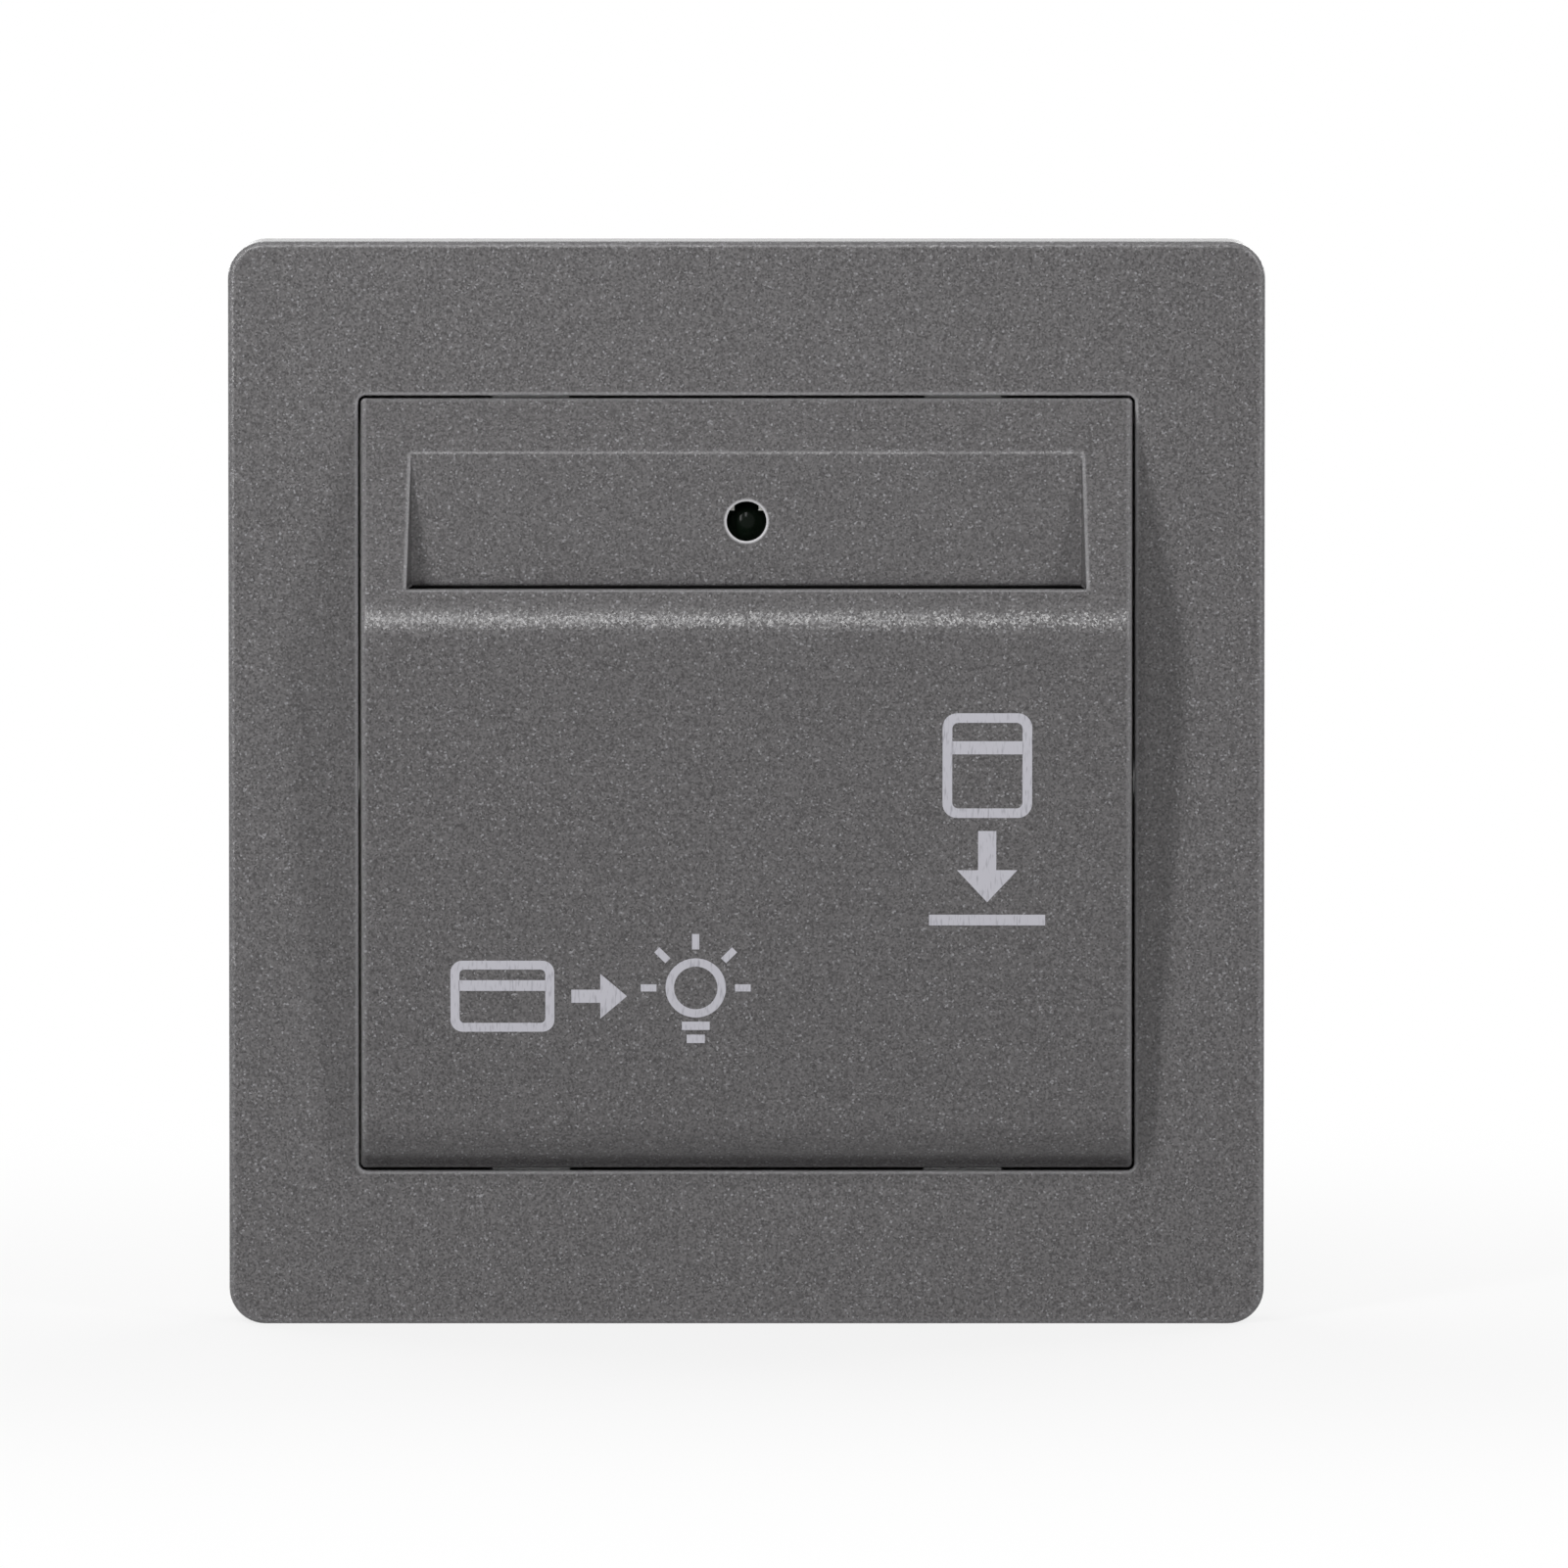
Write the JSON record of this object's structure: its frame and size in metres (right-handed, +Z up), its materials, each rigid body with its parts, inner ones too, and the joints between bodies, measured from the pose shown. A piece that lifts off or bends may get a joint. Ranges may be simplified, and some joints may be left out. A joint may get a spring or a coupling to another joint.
{
  "type": "hotel key card switch",
  "caption": "Wall-mounted key card switch: square grey panel, wedge-shaped front with a card slot and round window, housing behind with relay, microswitch, lever and terminals.",
  "frame": {"origin": "on the wall plane, midway between the two wall-screw holes", "axes": "+Z up, +X to the right seen from the room, +Y into the wall; the front faces -Y"},
  "size_m": [0.086, 0.0457, 0.09],
  "materials": {
    "graphite_plastic": "fine grained, metallic grey",
    "black_plastic": "satin black",
    "white_plastic": "moulded white",
    "zinc_steel": "zinc plated",
    "tinned_brass": "tinned",
    "red_plastic": "moulded red",
    "smoked_lens": "dark tinted",
    "board_laminate": "green solder mask",
    "terminal_green": "moulded green",
    "relay_blue": "moulded blue",
    "capacitor_yellow": "moulded yellow",
    "capacitor_sleeve": "shrunk sleeve",
    "varistor_coat": "dipped epoxy",
    "black_epoxy": "moulded epoxy",
    "resistor_coat": "lacquered"
  },
  "bodies": {
    "base": {"microswitch_case": "black_plastic", "mounting_frame": "white_plastic", "rear_housing": "white_plastic", "inner_lid": "white_plastic", "led_holder": "white_plastic", "lid_screws": "zinc_steel", "board_screws": "zinc_steel", "terminal_screws": "zinc_steel", "wire_clamps": "zinc_steel", "lever_pin": "zinc_steel", "lever_spring": "zinc_steel", "microswitch_terminals": "tinned_brass", "terminal_pins": "tinned_brass", "led_leads": "tinned_brass", "indicator_led": "smoked_lens", "main_board": "board_laminate", "terminal_block": "terminal_green", "power_relay": "relay_blue", "mains_capacitor": "capacitor_yellow", "smoothing_capacitor": "capacitor_sleeve", "varistor": "varistor_coat", "bridge_rectifier": "black_epoxy", "timer_chip": "black_epoxy", "board_fuse": "black_epoxy", "resistors": "resistor_coat"},
    "front_cover": {"card_cover": "graphite_plastic", "card_chute": "black_plastic", "chute_screws": "zinc_steel"},
    "decor_frame": {"decor_frame": "graphite_plastic"},
    "card_lever": {"card_lever": "black_plastic"},
    "switch_plunger": {"switch_plunger": "red_plastic"}
  },
  "joints": [
    {"name": "front_cover_pull", "type": "slide", "parent": "base", "child": "front_cover", "axis": [0, -1, 0], "range_m": [0, 0.02]},
    {"name": "decor_frame_pull", "type": "slide", "parent": "base", "child": "decor_frame", "axis": [0, -1, 0], "range_m": [0, 0.02]},
    {"name": "card_lever_swing", "type": "hinge", "parent": "base", "child": "card_lever", "pos_m": [0.015, -0.002, -0.008], "axis": [1, 0, 0], "range_deg": [0, 14], "stiffness_Nm_per_rad": 0.02, "springref_deg": -8.59, "deforming": ["lever_spring"]},
    {"name": "switch_plunger_travel", "type": "slide", "parent": "base", "child": "switch_plunger", "axis": [0, 1, 0], "range_m": [0, 0.001]}
  ],
  "couplings": [
    {"joint": "switch_plunger_travel", "follows": "card_lever_swing", "m_per_rad": 0.004}
  ]
}
